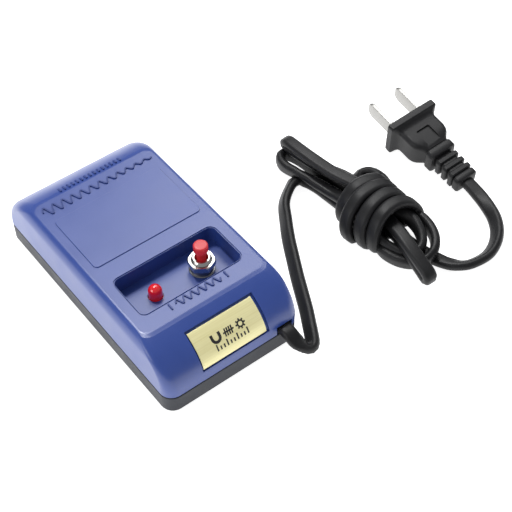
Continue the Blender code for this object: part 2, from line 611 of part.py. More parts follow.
def make_plug():
    place = plug_matrix()

    def section(y, half_x, half_z, radius):
        return [(x, y, z) for x, z in rounded_outline(-half_x, half_x, -half_z, half_z, radius, 3)]

    body = [section(0.0, 9.6, 6.7, 1.6), section(-0.5, 10.1, 7.1, 1.8), section(-2.9, 10.1, 7.1, 1.8),
            section(-3.5, 9.6, 6.7, 1.8), section(-4.6, 8.5, 5.8, 2.0), section(-6.0, 8.1, 5.5, 2.2),
            section(-10.5, 8.1, 5.5, 2.2), section(-13.0, 7.2, 5.3, 2.2), section(-14.8, 5.2, 4.9, 2.2),
            section(-16.0, 4.6, 4.4, 2.0)]
    plug = link_mesh("plug_body", loft(body), "cord_black", smooth=True, matrix=place)
    for side, label in ((-1, "left"), (1, "right")):
        x = side * BLADE_SPACING / 2
        slot = block(x - BLADE_T / 2 - GAP, x + BLADE_T / 2 + GAP, -4.0, 2.0,
                     -BLADE_W / 2 - GAP, BLADE_W / 2 + GAP)
        boolean(plug, link_mesh("blade_slot_" + label, slot, None, matrix=place), "DIFFERENCE")
        half_t, half_w = BLADE_T / 2, BLADE_W / 2
        rings = [[(x - half_t * s, y, -half_w * s), (x + half_t * s, y, -half_w * s),
                  (x + half_t * s, y, half_w * s), (x - half_t * s, y, half_w * s)]
                 for y, s in ((-3.6, 1.0), (BLADE_LEN - 1.6, 1.0), (BLADE_LEN, 0.6))]
        link_mesh("plug_blade_" + label, loft(rings), "nickel", matrix=place)
    relief = [section(-16.3, 5.1, 4.3, 1.8), section(-19.7, 5.1, 4.3, 1.8)]
    for k in range(3):
        y = -20.0 - 3.3 * k
        relief += [section(y, 3.5, 2.5, 1.2), section(y - 0.9, 3.5, 2.5, 1.2),
                   section(y - 1.1, 4.4, 3.2, 1.4), section(y - 3.1, 4.4, 3.2, 1.4)]
    relief += [section(-30.1, 3.5, 2.5, 1.2), section(-30.3, 4.4, 3.0, 1.4), section(-32.8, 4.2, 2.9, 1.4)]
    link_mesh("plug_strain_relief", loft(relief), "cord_black", smooth=True, matrix=place)


def main():
    clear_scene()
    make_top_housing()
    make_base_tray()
    make_feet()
    make_nameplate()
    make_housing_screws()
    make_lamp()
    make_indicator_board()
    make_switch()
    make_button()
    make_coil()
    make_wires()
    make_cord_clamp()
    make_cord()
    make_plug()


main()
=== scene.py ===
"""Looks of the bench demagnetizer: blue shell on a black tray, gold nameplate, lamp and push
switch, and the flat mains cord tied in a hank with its two-blade plug.

Sizes are in millimetres in the part's own frame and become metres when a mesh is made.
"""

import math

import bmesh
import bpy
from mathutils import Matrix, Vector


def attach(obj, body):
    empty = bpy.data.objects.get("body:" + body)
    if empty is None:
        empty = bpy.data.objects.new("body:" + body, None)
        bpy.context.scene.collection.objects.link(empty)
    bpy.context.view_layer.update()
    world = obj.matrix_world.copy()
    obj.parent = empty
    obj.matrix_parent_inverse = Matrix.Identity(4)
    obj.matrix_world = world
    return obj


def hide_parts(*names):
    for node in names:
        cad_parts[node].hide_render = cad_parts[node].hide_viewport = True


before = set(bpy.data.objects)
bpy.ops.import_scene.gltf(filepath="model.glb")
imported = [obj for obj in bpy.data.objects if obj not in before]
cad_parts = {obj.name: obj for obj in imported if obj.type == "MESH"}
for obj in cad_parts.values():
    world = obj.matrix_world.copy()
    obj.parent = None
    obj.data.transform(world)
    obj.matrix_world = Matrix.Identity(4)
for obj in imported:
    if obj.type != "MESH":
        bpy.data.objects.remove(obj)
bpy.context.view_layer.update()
MM = 0.001

# camera
CAMERA_AT = (-129.0, -233.8, 321.55)
CAMERA_AZIMUTH, CAMERA_ELEVATION, CAMERA_ROLL = -36.669, 49.391, -1.076
CAMERA_LENS = 85.77

# housing: PAD and POCKET are x0, x1, y0, y1 and PLATE is x0, x1, z0, z1. A lean is how far a wall
# comes in by the top, and over what height
HALF_W, HALF_L = 26.0, 49.0
TOP_Z, SHELL_Z0, TRAY_TOP, TRAY_Z0 = 24.8, 8.1, 7.8, 0.6
CORNER_R, WALL = 4.5, 1.8
SIDE_LEAN, FRONT_LEAN, BACK_LEAN = (2.1, 4.4), (14.2, 14.2), (15.9, 16.1)
CURVE_END = 0.9
SHELL_RINGS = 26
PAD = (-20.6, 20.9, -2.7, 23.0)
PAD_RISE = 0.3
POCKET = (-19.4, 19.4, -27.6, -10.3)
POCKET_FLOOR, POCKET_R, POCKET_WALL = 18.2, 2.2, 1.6
PLATE = (-11.9, 12.6, 13.2, 22.6)
PLATE_RECESS, PRINT_CENTRE = 0.8, 0.56
NOTCH_X, NOTCH_TOP = (16.4, 22.4), 11.8
SCREW_X, SCREW_Y, SCREW_HOLE_R = 21.4, (-31.5, 36.0), 2.8
FOOT_X, FOOT_Y, FOOT_HOLE_R, FOOT_HOLE_TOP = 18.5, (-42.0, 43.0), 4.3, 1.5
WAVE_Y, WAVE_X0, WAVE_LENGTH, WAVE_PEAKS, WAVE_HEIGHT = 28.3, -21.2, 43.0, 12, 2.1
SMALL_WAVE_Y, SMALL_WAVE_X0, SMALL_WAVE_LENGTH, SMALL_WAVE_PEAKS = -29.9, -8.4, 17.0, 6
MARK_RISE, PIP_COUNT, PIP_X0, PIP_PITCH = 0.38, 15, -11.2, 1.7

# controls
CONTROL_Y, LED_X, SWITCH_X = -18.6, -9.0, 9.3
LED_R, LED_FLANGE_R, BUSH_R, BUSH_BORE_R = 2.35, 2.9, 3.1, 1.9
LED_SHOULDER, BUSH_TOP, NUT_Z0, NUT_Z1, BUTTON_TOP = 20.6, 23.9, 20.6, 22.8, 30.0
NUT_FLATS, NUT_TURN, NUT_SEGMENTS, THREAD_PITCH = 8.3, 37, 72, 0.45

# plug, in its own frame: blade face at the origin, blades along +Y
PLUG_FACE = (115.2, -1.8, 8.5)
PLUG_TURN, PLUG_TILT, PLUG_ROLL = -0.9, 7.7, -5.4
BLADE_SPACING, BLADE_LEN, BLADE_W, BLADE_T = 12.7, 14.4, 6.3, 1.5
BLADE_ROOT, BLADE_PLAY = 3.6, 0.2
LABEL_RECESS = (-3.1, 2.6, -15.6, -7.7)
RIB_COUNT, RIB_START, RIB_PITCH = 3, -20.0, 3.3

# cord: 5.2 wide and 3.2 thick. Each point of its route is x, y, z and how its broad side
# lies: an angle from flat (0) to on edge (90), or the axis that the broad side runs along
CORD_W, CORD_T, CORD_EDGE_R, CORD_STEP = 5.2, 3.2, 1.45, 1.3
LEAD = [
    (19.4, -49.4, 9.7, "X"), (19.4, -52.0, 9.6, "X"), (19.9, -54.2, 7.9, "X"), (21.6, -56.3, 5.6, 20),
    (23.4, -57.0, 3.8, 35), (25.5, -56.0, 3.2, 42), (27.6, -52.9, 3.1, 44), (30.0, -48.7, 3.1, 44),
    (32.8, -43.8, 3.1, 44), (35.8, -37.9, 3.1, 44), (39.2, -31.2, 3.1, 44), (43.3, -23.6, 3.1, 44),
    (47.7, -15.6, 3.1, 46), (52.3, -8.3, 3.1, 52), (57.0, -1.4, 3.1, 60), (63.0, 3.2, 3.0, 60),
]
OUTER_LOOP = [
    (67.3, 4.9, 2.8, 35), (70.6, 3.2, 2.1, 5), (72.2, -1.5, 2.0, 0), (72.6, -8.0, 2.4, 0),
    (72.2, -15.0, 3.8, 0), (72.2, -24.0, 4.9, 0), (71.0, -32.0, 4.3, 20), (69.6, -37.6, 3.3, 65),
    (69.8, -42.0, 3.0, 80), (71.3, -46.8, 3.0, 80), (74.4, -50.6, 3.1, 75), (78.6, -52.6, 4.1, 75),
    (82.5, -51.9, 5.8, 85), (85.7, -48.4, 6.4, 85), (87.5, -43.4, 6.8, 80), (87.2, -38.2, 7.2, 60),
    (84.9, -33.0, 6.6, 30), (82.6, -26.0, 5.6, 0), (82.4, -18.0, 5.2, 0),
]
LOW_END = [
    (79.6, -10.0, 3.6, 40), (77.2, -1.0, 3.2, 70), (75.7, 7.0, 3.2, 90), (74.6, 12.6, 3.6, 90),
    (72.4, 16.8, 4.2, 90), (69.2, 16.4, 4.6, 90), (67.6, 12.8, 4.8, 90), (68.2, 8.0, 5.0, 80),
    (70.0, 2.4, 5.4, 40), (71.3, -4.0, 5.4, 20), (72.3, -11.0, 6.0, 5), (72.3, -18.0, 7.6, 0),
]
INNER_LOOP = [
    (72.2, -25.0, 8.0, 0), (71.6, -31.5, 7.4, 20), (71.0, -36.4, 5.9, 60), (71.8, -41.2, 4.6, 80),
    (73.9, -45.8, 4.2, 75), (77.4, -48.6, 4.9, 80), (81.0, -47.4, 6.1, 88), (83.3, -43.0, 7.4, 80),
    (83.7, -37.6, 8.6, 55), (82.2, -31.0, 9.6, 20), (80.4, -25.0, 10.2, 5), (79.2, -19.0, 10.7, 0),
]
TOP_FOLD = [
    (76.7, -12.0, 11.2, "X"), (74.9, -5.0, 11.2, "X"), (73.7, 4.6, 11.1, "X"), (73.2, 12.5, 10.8, "X"),
    (73.2, 16.6, 10.3, "X"), (73.4, 18.2, 9.0, "X"), (73.6, 16.6, 7.7, "X"), (73.9, 12.5, 7.6, "X"),
    (75.0, 5.0, 7.8, "X"), (76.9, -2.0, 7.8, "X"), (79.0, -8.0, 8.0, "X"), (80.2, -16.0, 7.9, "X"),
    (78.6, -26.0, 8.0, "X"),
]
LONG_FOLD = [
    (77.0, -33.0, 9.2, "X"), (75.9, -39.5, 9.9, "X"), (74.7, -45.5, 9.9, "X"), (73.8, -51.0, 9.0, "X"),
    (73.4, -55.8, 7.7, "X"), (73.2, -58.8, 6.5, "X"), (73.1, -60.0, 5.0, "X"), (73.3, -58.8, 3.6, "X"),
    (73.6, -55.8, 4.5, "X"), (74.2, -51.0, 5.8, "X"), (75.2, -45.5, 6.6, "X"), (76.4, -39.5, 6.3, "X"),
    (77.3, -33.0, 5.4, "X"), (77.6, -26.0, 4.9, "X"), (78.4, -20.0, 4.9, "X"),
]
TURN_BACK = [
    (80.4, -14.6, 5.0, 10), (83.2, -10.8, 5.6, 30), (86.0, -9.4, 6.8, 45), (88.6, -12.0, 8.0, 45),
    (88.8, -16.4, 8.8, 40),
]
# four uneven turns round the loops, from the right side over the top and down the left
WRAPS = [
    (87.6, -20.2, 9.6, "Y"), (85.0, -20.0, 12.8, "Y"), (80.2, -19.6, 14.9, "Y"), (74.8, -19.2, 14.9, "Y"),
    (70.9, -19.2, 12.1, "Y"), (68.7, -19.4, 8.4, "Y"), (68.0, -20.4, 4.6, "Y"), (69.6, -21.6, 2.2, "Y"),
    (75.6, -22.4, 1.9, "Y"), (82.0, -23.2, 1.9, "Y"), (86.2, -24.6, 4.6, "Y"),
    (87.1, -25.6, 9.2, "Y"), (85.0, -24.6, 13.4, "Y"), (79.8, -23.8, 15.7, "Y"), (73.4, -23.8, 15.7, "Y"),
    (68.6, -24.3, 13.0, "Y"), (65.6, -25.2, 9.0, "Y"), (64.2, -27.0, 5.2, "Y"), (65.8, -28.0, 2.4, "Y"),
    (71.6, -27.2, 1.9, "Y"), (80.0, -27.6, 1.9, "Y"), (85.8, -29.2, 4.4, "Y"),
    (86.8, -30.4, 9.6, "Y"), (84.6, -29.4, 13.6, "Y"), (79.4, -28.8, 15.9, "Y"), (73.4, -29.3, 15.5, "Y"),
    (68.9, -30.2, 12.6, "Y"), (66.6, -31.2, 8.6, "Y"), (66.2, -32.8, 4.8, "Y"), (68.2, -33.0, 2.2, "Y"),
    (74.6, -31.4, 1.9, "Y"), (82.0, -31.8, 1.9, "Y"), (87.2, -34.8, 4.0, "Y"),
    (88.6, -36.4, 7.8, "Y"), (86.6, -35.2, 12.0, "Y"), (82.4, -34.2, 14.9, "Y"), (77.2, -34.0, 15.8, "Y"),
    (72.4, -34.6, 14.4, "Y"), (69.2, -35.6, 10.8, "Y"), (67.6, -36.6, 6.8, "Y"), (68.2, -36.6, 3.4, "Y"),
    (71.2, -34.8, 1.9, "Y"), (75.6, -33.6, 1.9, 0), (78.4, -34.2, 1.9, 0),
]
TAIL = [
    (79.6, -36.6, 1.9, 0), (80.2, -41.6, 1.9, 0), (80.9, -46.8, 1.9, 0), (82.2, -52.4, 2.0, 0),
    (84.2, -57.6, 2.3, 15), (87.2, -61.5, 2.8, 40), (91.2, -63.2, 3.1, 46), (97.0, -63.4, 3.1, 46),
    (102.7, -61.2, 3.1, 46), (107.5, -57.3, 3.0, 44), (111.0, -52.4, 2.9, 38), (113.0, -47.2, 2.9, 28),
    (114.1, -42.4, 3.2, 12), (114.6, -37.6, 3.8, 0), (114.7, -34.6, 4.2, 0),
]

# lights, all pointed at LIGHTS_AIM: name, place, width and height in metres, power in watts
LIGHTS = (
    ("back_softbox", (0.53, 0.46, 0.80), (0.55, 0.50), 4.4),
    ("key", (0.06, 0.42, 0.95), (0.16, 0.16), 5.6),
    ("left_softbox", (-0.80, 0.05, 0.40), (0.5, 0.4), 2.5),
)
LIGHTS_AIM = (0.03, 0.0, 0.01)
FLOOR_HALF = 3000.0
FLOOR_GLOW, SKY_STRENGTH = 0.88, 0.36


# ---------------------------------------------------------------- meshes

def piece(name, bm, mat, smooth=35, matrix=None):
    """Turn a bmesh in millimetres into a shaded object in metres."""
    bmesh.ops.recalc_face_normals(bm, faces=bm.faces)
    full = Matrix.Scale(MM, 4)
    if matrix is not None:
        full = full @ matrix
    bm.transform(full)
    mesh = bpy.data.meshes.new(name)
    bm.to_mesh(mesh)
    bm.free()
    if smooth:
        mesh.shade_smooth()
        mesh.set_sharp_from_angle(angle=math.radians(smooth))
    obj = bpy.data.objects.new(name, mesh)
    bpy.context.scene.collection.objects.link(obj)
    if mat:
        mesh.materials.append(mat)
    return obj


def cut(target, tool, operation="DIFFERENCE"):
    """Take the tool out of the target, or join it on, and delete the tool."""
    mod = target.modifiers.new("cut", "BOOLEAN")
    mod.operation = operation
    mod.solver = "EXACT"
    mod.object = tool
    settle(target, 30)
    bpy.data.objects.remove(tool)


def settle(obj, smooth):
    """Write the modifiers into the mesh."""
    graph = bpy.context.evaluated_depsgraph_get()
    mesh = bpy.data.meshes.new_from_object(obj.evaluated_get(graph))
    obj.modifiers.clear()
    obj.data = mesh
    mesh.shade_smooth()
    mesh.set_sharp_from_angle(angle=math.radians(smooth))


def even_normals(obj):
    """Keep large flat faces flat next to small rounded ones."""
    mod = obj.modifiers.new("weighted", "WEIGHTED_NORMAL")
    mod.keep_sharp = True
    mod.weight = 90


def loft(rings, close=False):
    """A body through rings of equal point count: capped at both ends, or closed on itself."""
    bm = bmesh.new()
    loops = [[bm.verts.new(p) for p in ring] for ring in rings]
    count = len(loops[0])
    following = loops[1:] + loops[:1] if close else loops[1:]
    for lower, upper in zip(loops, following):
        for i in range(count):
            j = (i + 1) % count
            bm.faces.new((lower[i], lower[j], upper[j], upper[i]))
    if not close:
        bm.faces.new(list(reversed(loops[0])))
        bm.faces.new(loops[-1])
    return bm


def rounded_outline(x0, x1, y0, y1, radius, steps=6):
    """Points round a rectangle with rounded corners."""
    points = []
    corners = ((x1 - radius, y1 - radius), (x0 + radius, y1 - radius),
               (x0 + radius, y0 + radius), (x1 - radius, y0 + radius))
    for quarter, (cx, cy) in enumerate(corners):
        for k in range(steps + 1):
            a = math.pi / 2 * (quarter + k / steps)
            points.append((cx + radius * math.cos(a), cy + radius * math.sin(a)))
    return points


def rounded_box(x0, x1, y0, y1, radius, levels, steps=6):
    """A box built up from (z, growth) levels, so that its edges can be rounded or flared."""
    return loft([[(x, y, z) for x, y in rounded_outline(x0 - g, x1 + g, y0 - g, y1 + g,
                                                        max(0.05, radius + g), steps)]
                 for z, g in levels])


def circle(cx, cy, radius, segments):
    """Points round a circle."""
    return [(cx + radius * math.cos(2 * math.pi * k / segments),
             cy + radius * math.sin(2 * math.pi * k / segments)) for k in range(segments)]


def turned(cx, cy, profile, segments=40, close=False):
    """A body of revolution about a vertical axis; profile is (radius, z)."""
    return loft([[(x, y, z) for x, y in circle(cx, cy, r, segments)] for r, z in profile], close)


def stroke(points, width, height, place):
    """A raised line of constant width through flat points, laid on a surface by place(u, v, out)."""
    rings = []
    last = len(points) - 1
    for i, (u, v) in enumerate(points):
        before, after = points[max(0, i - 1)], points[min(last, i + 1)]
        du, dv = after[0] - before[0], after[1] - before[1]
        size = math.hypot(du, dv)
        su, sv = -dv / size * width / 2, du / size * width / 2
        rings.append([place(u + su, v + sv, -0.15), place(u + su, v + sv, height),
                      place(u - su, v - sv, height), place(u - su, v - sv, -0.15)])
    return loft(rings)


def merge(parts):
    """Several bmeshes as one."""
    whole = bmesh.new()
    for part in parts:
        mesh = bpy.data.meshes.new("part")
        part.to_mesh(mesh)
        part.free()
        whole.from_mesh(mesh)
        bpy.data.meshes.remove(mesh)
    return whole


def dress(obj, body, slot, *nodes):
    """Put a piece on its body, in place of the CAD nodes it stands for. The slot argument is not used."""
    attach(obj, body)
    if nodes:
        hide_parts(*nodes)
    return obj


# ---------------------------------------------------------------- materials

class Finish:
    """A Principled material whose colour, roughness and relief vary over the surface."""

    def __init__(self, name, metallic=0.0):
        self.mat = bpy.data.materials.new("look_" + name)
        self.mat.use_nodes = True
        self.tree = self.mat.node_tree
        self.shader = self.tree.nodes["Principled BSDF"]
        self.shader.inputs["Metallic"].default_value = metallic
        self.coords = self.tree.nodes.new("ShaderNodeTexCoord").outputs["Object"]

    def noise(self, scale, detail=3.0, stretch=None):
        node = self.tree.nodes.new("ShaderNodeTexNoise")
        node.inputs["Scale"].default_value = scale
        node.inputs["Detail"].default_value = detail
        source = self.coords
        if stretch:
            mapping = self.tree.nodes.new("ShaderNodeMapping")
            mapping.inputs["Scale"].default_value = stretch
            self.tree.links.new(source, mapping.inputs["Vector"])
            source = mapping.outputs["Vector"]
        self.tree.links.new(source, node.inputs["Vector"])
        return node.outputs["Fac"]

    def colour(self, fac, dark, light, low=0.3, high=0.7):
        ramp = self.tree.nodes.new("ShaderNodeValToRGB")
        ramp.color_ramp.elements[0].position = low
        ramp.color_ramp.elements[1].position = high
        ramp.color_ramp.elements[0].color = (*dark, 1)
        ramp.color_ramp.elements[1].color = (*light, 1)
        self.tree.links.new(fac, ramp.inputs["Fac"])
        self.tree.links.new(ramp.outputs["Color"], self.shader.inputs["Base Color"])

    def roughness(self, fac, low, high):
        spread = self.tree.nodes.new("ShaderNodeMapRange")
        spread.inputs["From Min"].default_value = 0.3
        spread.inputs["From Max"].default_value = 0.7
        spread.inputs["To Min"].default_value = low
        spread.inputs["To Max"].default_value = high
        self.tree.links.new(fac, spread.inputs["Value"])
        self.tree.links.new(spread.outputs["Result"], self.shader.inputs["Roughness"])

    def relief(self, fac, strength, distance):
        bump = self.tree.nodes.new("ShaderNodeBump")
        bump.inputs["Strength"].default_value = strength
        bump.inputs["Distance"].default_value = distance
        self.tree.links.new(fac, bump.inputs["Height"])
        self.tree.links.new(bump.outputs["Normal"], self.shader.inputs["Normal"])

    def coat(self, weight, roughness):
        self.shader.inputs["Coat Weight"].default_value = weight
        self.shader.inputs["Coat Roughness"].default_value = roughness


# name: darker and lighter colour, roughness from and to, grain, relief strength, metallic
PLAIN_FINISHES = {
    "shell_blue": ((0.026, 0.060, 0.268), (0.029, 0.065, 0.284), 0.28, 0.33, 900, 0.03, 0.0),
    # the raised marks: the shell's own blue plastic, made darker as painted shade for their dark outlines
    "mark_blue_painted_shade": ((0.018, 0.041, 0.190), (0.022, 0.047, 0.210), 0.36, 0.44, 900, 0.03, 0.0),
    "tray_black": ((0.022, 0.025, 0.032), (0.030, 0.033, 0.042), 0.44, 0.56, 1400, 0.10, 0.0),
    "lamp_red": ((0.600, 0.003, 0.008), (0.680, 0.006, 0.012), 0.06, 0.12, 500, 0.0, 0.0),
    "button_red": ((0.470, 0.024, 0.030), (0.520, 0.032, 0.038), 0.34, 0.42, 700, 0.04, 0.0),
    "nickel": ((0.500, 0.490, 0.475), (0.580, 0.570, 0.550), 0.14, 0.24, 1200, 0.03, 1.0),
    "blade_metal": ((0.310, 0.305, 0.292), (0.350, 0.345, 0.330), 0.30, 0.40, 900, 0.03, 0.85),
    "steel": ((0.240, 0.240, 0.250), (0.320, 0.320, 0.330), 0.28, 0.42, 1000, 0.05, 1.0),
    "brass": ((0.660, 0.440, 0.150), (0.760, 0.530, 0.200), 0.25, 0.38, 1000, 0.05, 1.0),
    "switch_plastic": ((0.016, 0.016, 0.018), (0.026, 0.026, 0.028), 0.40, 0.52, 1200, 0.06, 0.0),
    "board_green": ((0.035, 0.160, 0.070), (0.055, 0.230, 0.105), 0.40, 0.55, 700, 0.05, 0.0),
    "resistor_tan": ((0.480, 0.360, 0.220), (0.600, 0.470, 0.300), 0.42, 0.56, 900, 0.05, 0.0),
    "bobbin_nylon": ((0.740, 0.710, 0.620), (0.820, 0.790, 0.700), 0.40, 0.52, 500, 0.05, 0.0),
    "copper": ((0.460, 0.170, 0.060), (0.660, 0.280, 0.120), 0.26, 0.40, 2200, 0.25, 0.9),
    "tape_yellow": ((0.680, 0.520, 0.070), (0.800, 0.640, 0.120), 0.34, 0.46, 700, 0.06, 0.0),
    "rubber_black": ((0.016, 0.016, 0.016), (0.026, 0.026, 0.026), 0.70, 0.84, 1600, 0.20, 0.0),
    "cord_black": ((0.007, 0.007, 0.008), (0.012, 0.012, 0.013), 0.40, 0.50, 700, 0.06, 0.0),
    "wire_brown": ((0.150, 0.055, 0.022), (0.210, 0.085, 0.038), 0.38, 0.50, 900, 0.05, 0.0),
    "wire_blue": ((0.022, 0.075, 0.300), (0.038, 0.105, 0.400), 0.38, 0.50, 900, 0.05, 0.0),
    "print_black": ((0.010, 0.010, 0.010), (0.020, 0.020, 0.018), 0.45, 0.60, 1500, 0.0, 0.0),
}


# specular level, where it is not the usual 0.5, and the painted glow of the two red plastics: the lamp is
# unlit and the button is no lamp
SHEEN = {"shell_blue": 0.62, "mark_blue_painted_shade": 0.3, "tray_black": 0.35, "cord_black": 0.28}
PAINTED_GLOW = {"lamp_red": 0.16, "button_red": 0.14}


def plain_finish(name):
    """A finish from the table, with soft patches of colour and a fine grain."""
    dark, light, rough_low, rough_high, grain, strength, metallic = PLAIN_FINISHES[name]
    finish = Finish(name, metallic)
    patches = finish.noise(grain * 0.12, 2.0)
    finish.colour(patches, dark, light)
    finish.roughness(patches, rough_low, rough_high)
    if strength:
        finish.relief(finish.noise(grain), strength, 0.0004)
    return finish


def brushed_gold():
    """Satin brass-coloured foil, brushed along X."""
    finish = Finish("plate_gold", 0.25)
    brushing = finish.noise(60, 4.0, stretch=(1.0, 40.0, 40.0))
    finish.colour(brushing, (0.860, 0.785, 0.390), (0.950, 0.890, 0.500))
    finish.roughness(brushing, 0.30, 0.42)
    finish.relief(brushing, 0.05, 0.0002)
    return finish


def make_finishes():
    finishes = {name: plain_finish(name) for name in PLAIN_FINISHES}
    finishes["plate_gold"] = brushed_gold()
    finishes["lamp_red"].coat(1.0, 0.03)
    for name, level in SHEEN.items():
        finishes[name].shader.inputs["Specular IOR Level"].default_value = level
    # red emission on the unlit lamp and the push button: painted light that brightens their colour
    for name, glow in PAINTED_GLOW.items():
        finishes[name].shader.inputs["Emission Color"].default_value = (0.90, 0.02, 0.03, 1)
        finishes[name].shader.inputs["Emission Strength"].default_value = glow
    return {name: finish.mat for name, finish in finishes.items()}


LOOKS = make_finishes()


# ---------------------------------------------------------------- housing

def lean(z, amount):
    """Inset of a wall at height z: a stretch of ellipse that stops before it turns level."""
    inset, depth = amount
    start = TOP_Z - depth
    if z <= start:
        return 0.0
    c = (z - start) / depth * CURVE_END
    full = 1 - math.sqrt(1 - CURVE_END * CURVE_END)
    return inset * (1 - math.sqrt(1 - c * c)) / full


def shell_outline(z, offset=0.0):
    """The shell's outline at height z, moved in by offset."""
    side = HALF_W - offset - lean(z, SIDE_LEAN)
    front = -HALF_L + offset + lean(z, FRONT_LEAN)
    back = HALF_L - offset - lean(z, BACK_LEAN)
    rise = (z - SHELL_Z0) / (TOP_Z - SHELL_Z0)
    return rounded_outline(-side, side, front, back, CORNER_R - min(offset, 1.5) - rise, 8)


def shell_rings():
    """Outer surface from the parting line up, with a soft edge where it meets the flat top."""
    rings = []
    for inset, rise in ((0.25, 0.0), (0.0, 0.25)):
        rings.append([(x, y, SHELL_Z0 + rise) for x, y in shell_outline(SHELL_Z0, inset)])
    for k in range(1, SHELL_RINGS + 1):
        z = SHELL_Z0 + (TOP_Z - 0.3 - SHELL_Z0) * math.sin(math.pi / 2 * k / SHELL_RINGS)
        rings.append([(x, y, z) for x, y in shell_outline(z)])
    for drop, inset in ((0.15, -0.05), (0.05, 0.3), (0.0, 0.8)):
        rings.append([(x, y, TOP_Z - drop) for x, y in shell_outline(TOP_Z, inset)])
    return rings


def shell_body():
    """Outer surface and the hollow under it, as one closed body."""
    inner = []
    squeeze = (TOP_Z - WALL - SHELL_Z0) / (TOP_Z - SHELL_Z0)
    for k in range(9):
        z = SHELL_Z0 + (TOP_Z - SHELL_Z0) * math.sin(math.pi / 2 * k / 8)
        inner.append([(x, y, SHELL_Z0 + (z - SHELL_Z0) * squeeze) for x, y in shell_outline(z, WALL)])
    return loft(list(reversed(shell_rings())) + inner)


def front_point(z, out):
    """A point off the curved front: (y, z) moved out along the face's normal."""
    step = 0.05
    rise = lean(z + step, FRONT_LEAN) - lean(z - step, FRONT_LEAN)
    length = math.hypot(rise, 2 * step)
    return -HALF_L + lean(z, FRONT_LEAN) - out * 2 * step / length, z + out * rise / length


def front_strip(x0, x1, z0, z1, inside, outside, steps=16):
    """A slab that follows the curved front, from inside to outside of its surface."""
    rings = []
    for k in range(steps + 1):
        z = z0 + (z1 - z0) * k / steps
        y_in, z_in = front_point(z, inside)
        y_out, z_out = front_point(z, outside)
        rings.append([(x0, y_in, z_in), (x1, y_in, z_in), (x1, y_out, z_out), (x0, y_out, z_out)])
    return loft(rings)


def cutter(bm):
    """A tool for cut(), which deletes it again."""
    return piece("cutter", bm, None, smooth=0)


def cut_pocket(shell):
    """Control pocket with its own walls and a narrow groove round its rim."""
    x0, x1, y0, y1 = POCKET
    well = [(POCKET_FLOOR - POCKET_WALL, POCKET_WALL), (TOP_Z - 0.9, POCKET_WALL)]
    cut(shell, cutter(rounded_box(x0, x1, y0, y1, POCKET_R, well)), "UNION")
    groove = [(TOP_Z - 0.35, 0.55), (TOP_Z + 0.3, 0.6)]
    cut(shell, cutter(rounded_box(x0, x1, y0, y1, POCKET_R, groove)))
    lip = [(TOP_Z - 0.8, 0.2), (TOP_Z - 0.16, 0.2), (TOP_Z - 0.06, 0.1)]
    cut(shell, cutter(rounded_box(x0, x1, y0, y1, POCKET_R, lip)), "UNION")
    opening = [(POCKET_FLOOR, 0.0), (TOP_Z - 0.4, 0.0), (TOP_Z + 0.3, 0.05)]
    cut(shell, cutter(rounded_box(x0, x1, y0, y1, POCKET_R, opening)))


def make_shell():
    """Blue shell with its pocket, raised pad, nameplate recess and cord notch."""
    shell = piece("shell", shell_body(), LOOKS["shell_blue"])
    cut_pocket(shell)
    plateau = [(TOP_Z - 0.6, 0.0), (TOP_Z + PAD_RISE - 0.1, 0.0), (TOP_Z + PAD_RISE, -0.1)]
    cut(shell, cutter(rounded_box(*PAD, 1.6, plateau)), "UNION")
    for x, radius in ((LED_X, LED_R + 0.25), (SWITCH_X, BUSH_R + 0.3)):
        cut(shell, cutter(turned(x, CONTROL_Y, [(radius, 15.0), (radius, 20.0)])))
    x0, x1, z0, z1 = PLATE
    cut(shell, cutter(front_strip(x0 - 0.45, x1 + 1.0, z0 - 0.7, z1 + 0.4, -PLATE_RECESS, 1.5)))
    levels = [(SHELL_Z0 - 1, 0), (NOTCH_TOP, 0)]
    cut(shell, cutter(rounded_box(*NOTCH_X, -HALF_L - 2, -HALF_L + 3.5, 0.05, levels, 1)))
    even_normals(shell)
    dress(shell, "housing", "shell_blue", "top_housing")


def make_tray():
    """Open tray with screw recesses and the holes of the four feet."""
    levels = [(TRAY_Z0, -0.9), (TRAY_Z0 + 0.15, -0.5), (TRAY_Z0 + 0.45, -0.2), (TRAY_Z0 + 0.9, 0.0),
              (TRAY_TOP - 0.6, 0.0), (TRAY_TOP - 0.2, -0.06), (TRAY_TOP, -0.3)]
    inner = [(TRAY_TOP, -WALL), (TRAY_Z0 + WALL + 0.4, -WALL), (TRAY_Z0 + WALL, -WALL - 0.4)]
    rings = [[(x, y, z) for x, y in rounded_outline(-HALF_W - g, HALF_W + g, -HALF_L - g, HALF_L + g,
                                                    CORNER_R + g, 8)] for z, g in levels + inner]
    tray = piece("tray", loft(rings), LOOKS["tray_black"])
    for sx in (-1, 1):
        for y in SCREW_Y:
            profile = [(SCREW_HOLE_R + 0.4, TRAY_Z0 - 1), (SCREW_HOLE_R + 0.4, TRAY_Z0 + 0.05),
                       (SCREW_HOLE_R, TRAY_Z0 + 0.45), (SCREW_HOLE_R, 6.0)]
            cut(tray, cutter(turned(sx * SCREW_X, y, profile, 28)))
        for y in FOOT_Y:
            profile = [(FOOT_HOLE_R, TRAY_Z0 - 1), (FOOT_HOLE_R, FOOT_HOLE_TOP)]
            cut(tray, cutter(turned(sx * FOOT_X, y, profile, 28)))
    even_normals(tray)
    dress(tray, "housing", "tray_black", "base_tray")


def on_top(u, v, out):
    """u and v are x and y on the flat top."""
    return u, v, TOP_Z + out


def on_back(u, v, out):
    """u across, v backwards from the edge where the flat top turns down to the back."""
    y = HALF_L - BACK_LEAN[0]
    return u, y + v, TOP_Z + out - 0.26 * v - 0.035 * v * v


